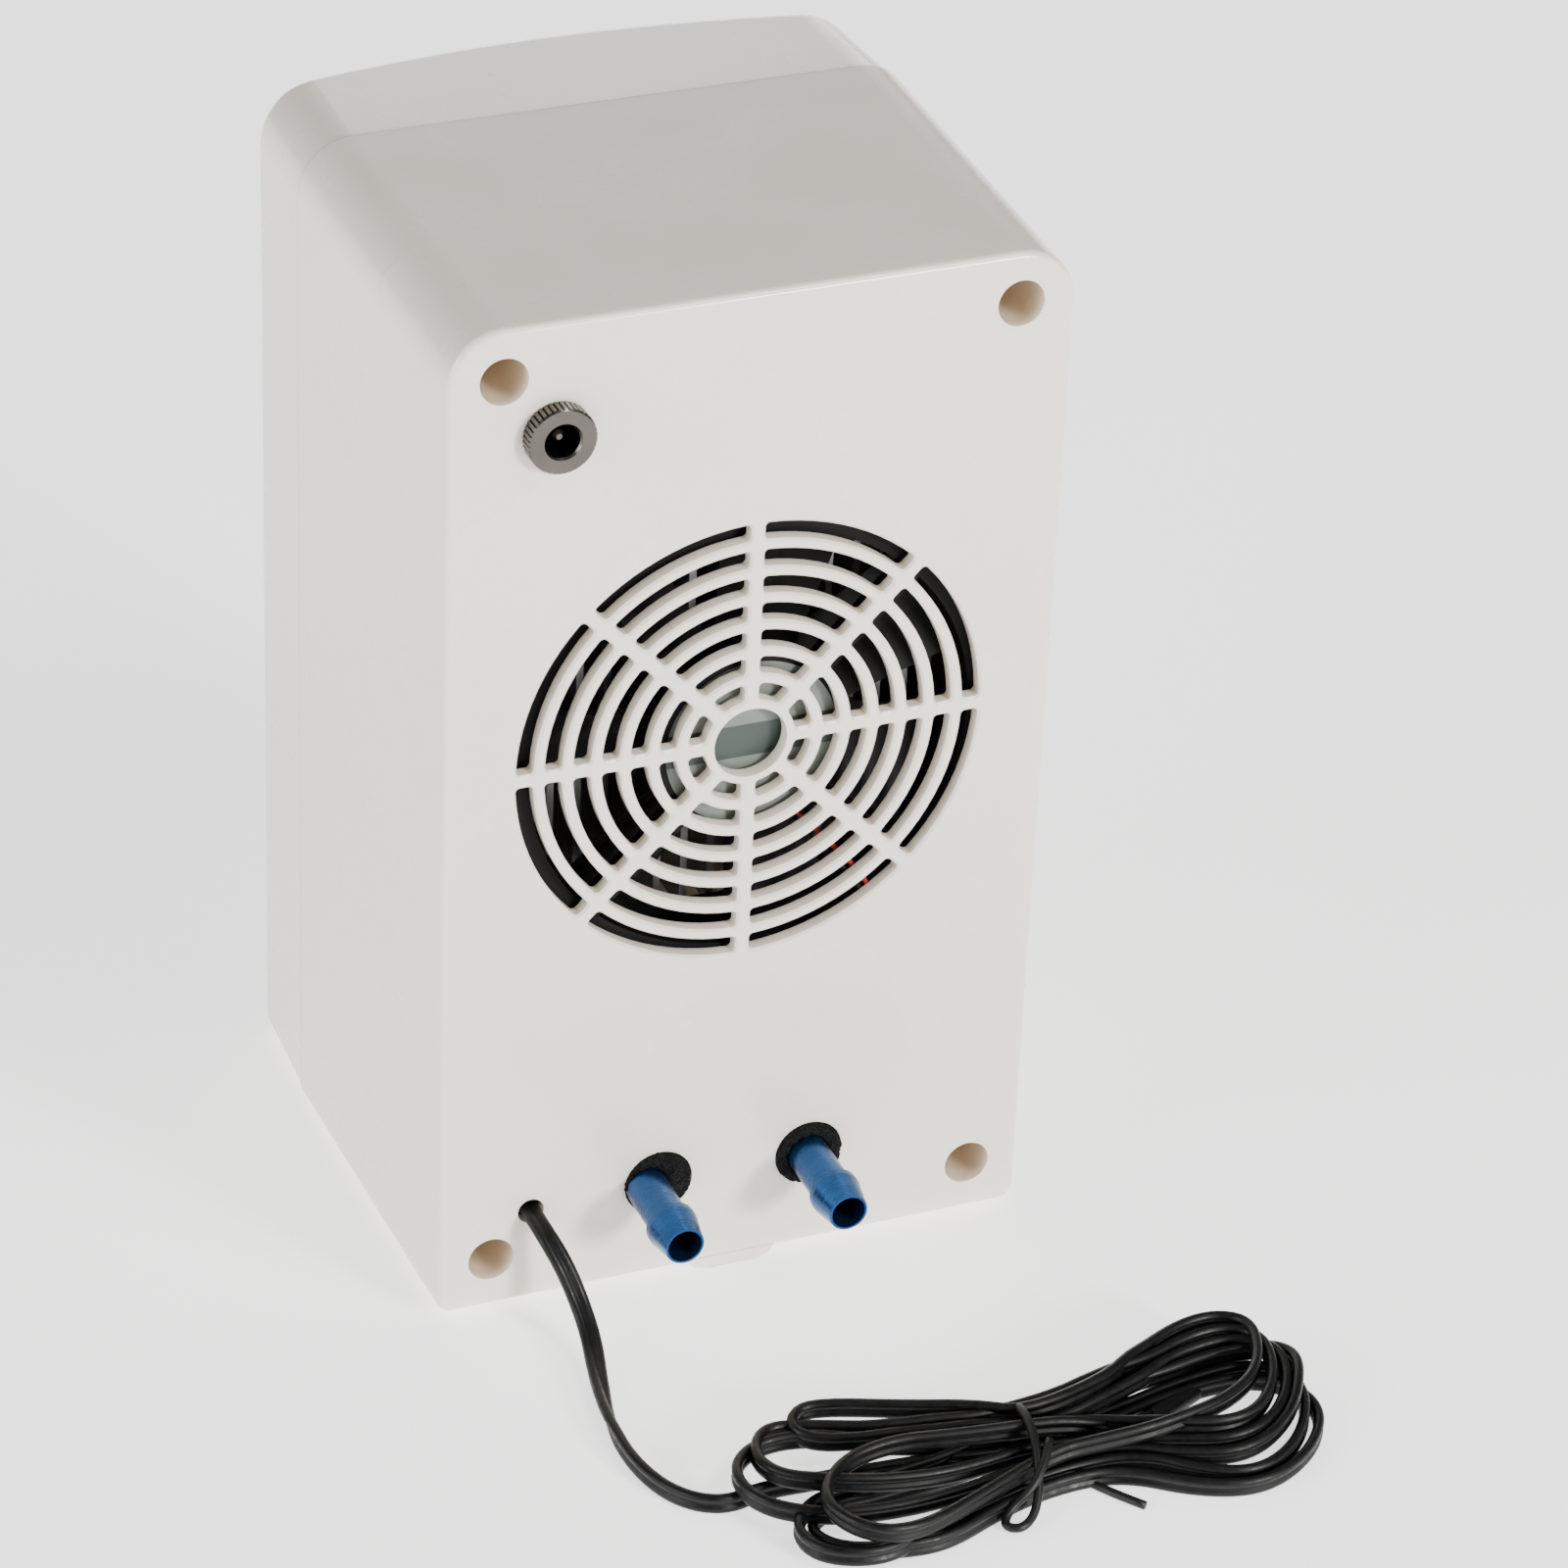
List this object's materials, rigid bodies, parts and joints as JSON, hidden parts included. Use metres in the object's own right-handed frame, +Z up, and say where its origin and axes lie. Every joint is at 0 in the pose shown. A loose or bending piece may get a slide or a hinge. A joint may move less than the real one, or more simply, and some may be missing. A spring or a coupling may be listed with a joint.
{
  "type": "aquarium water chiller",
  "caption": "Upright thermoelectric water chiller: two-part case, round fan grille, two hose barbs, power socket and a tied sensor lead.",
  "frame": {"origin": "on the floor under the middle of the box that the chiller and its hose barbs fill", "axes": "+Z up; +Y towards the fan grille, the power socket and the hose barbs; the display faces -Y"},
  "size_m": [0.1298, 0.1895, 0.185],
  "materials": {
    "case": "warm ivory moulded plastic, slightly glossy",
    "rubber": "black rubber",
    "steel": "zinc plated steel",
    "black_plastic": "black moulded plastic",
    "brass": "machined brass",
    "iron": "laminated steel",
    "copper": "enamelled copper wire",
    "board": "green circuit board",
    "label": "printed foil, blank",
    "magnet": "bonded ferrite",
    "aluminium": "mill finish",
    "thermal_pad": "white thermal compound",
    "ceramic": "white ceramic",
    "foam": "black open-cell foam",
    "blue_anodised": "blue anodised, satin",
    "nickel": "nickel plated brass",
    "smoked": "smoked clear plastic",
    "button": "light grey plastic",
    "display": "LED display, unlit",
    "relay": "blue plastic",
    "terminal": "green plastic",
    "capacitor": "sleeved aluminium can",
    "lead": "black PVC",
    "tie": "PVC coated wire",
    "red_wire": "red PVC"
  },
  "bodies": {
    "root": {"barb_seals": "rubber", "block_insulation": "foam", "board_screws": "steel", "buzzer": "black_plastic", "capacitors": "capacitor", "case_screws": "steel", "channel_plugs": "brass", "clamp_bar": "steel", "clamp_screws": "steel", "control_board": "board", "display_module": "display", "display_window": "smoked", "fan_bearing": "brass", "fan_board": "board", "fan_frame": "black_plastic", "fan_label": "label", "fan_lead_black": "lead", "fan_lead_red": "red_wire", "fan_screws": "steel", "fan_stator": "iron", "fan_windings": "copper", "foam_sleeve_left": "foam", "foam_sleeve_right": "foam", "front_cover": "case", "front_feet": "rubber", "heat_sink": "aluminium", "hose_barb_left": "blue_anodised", "hose_barb_right": "blue_anodised", "lead_stop": "rubber", "lead_tie": "tie", "module_leads": "red_wire", "peltier_module": "ceramic", "power_jack_barrel": "nickel", "power_jack_base": "black_plastic", "power_jack_nut": "nickel", "power_jack_pin": "nickel", "power_jack_ring": "nickel", "power_leads": "red_wire", "power_transistor": "black_plastic", "rear_housing": "case", "relay": "relay", "sensor_lead": "lead", "sensor_lead_hank": "lead", "sensor_lead_inner": "lead", "sensor_probe": "lead", "sink_screws": "steel", "tact_switches": "black_plastic", "terminal_blocks": "terminal", "thermal_pad_cold": "thermal_pad", "thermal_pad_hot": "thermal_pad", "water_block": "aluminium"},
    "fan_rotor": {"fan_rotor": "black_plastic", "fan_magnet": "magnet", "fan_shaft": "steel"},
    "button_set": {"button_set": "button"},
    "button_up": {"button_up": "button"},
    "button_down": {"button_down": "button"}
  },
  "joints": [
    {"name": "fan_spin", "type": "hinge", "parent": "root", "child": "fan_rotor", "pos_m": [-0.0015, 0.0292, 0.101], "axis": [0, 1, 0], "continuous": true},
    {"name": "button_set_press", "type": "slide", "parent": "root", "child": "button_set", "axis": [0, 1, 0], "range_m": [0, 0.0006], "stiffness_N_per_m": 900},
    {"name": "button_up_press", "type": "slide", "parent": "root", "child": "button_up", "axis": [0, 1, 0], "range_m": [0, 0.0006], "stiffness_N_per_m": 900},
    {"name": "button_down_press", "type": "slide", "parent": "root", "child": "button_down", "axis": [0, 1, 0], "range_m": [0, 0.0006], "stiffness_N_per_m": 900}
  ]
}
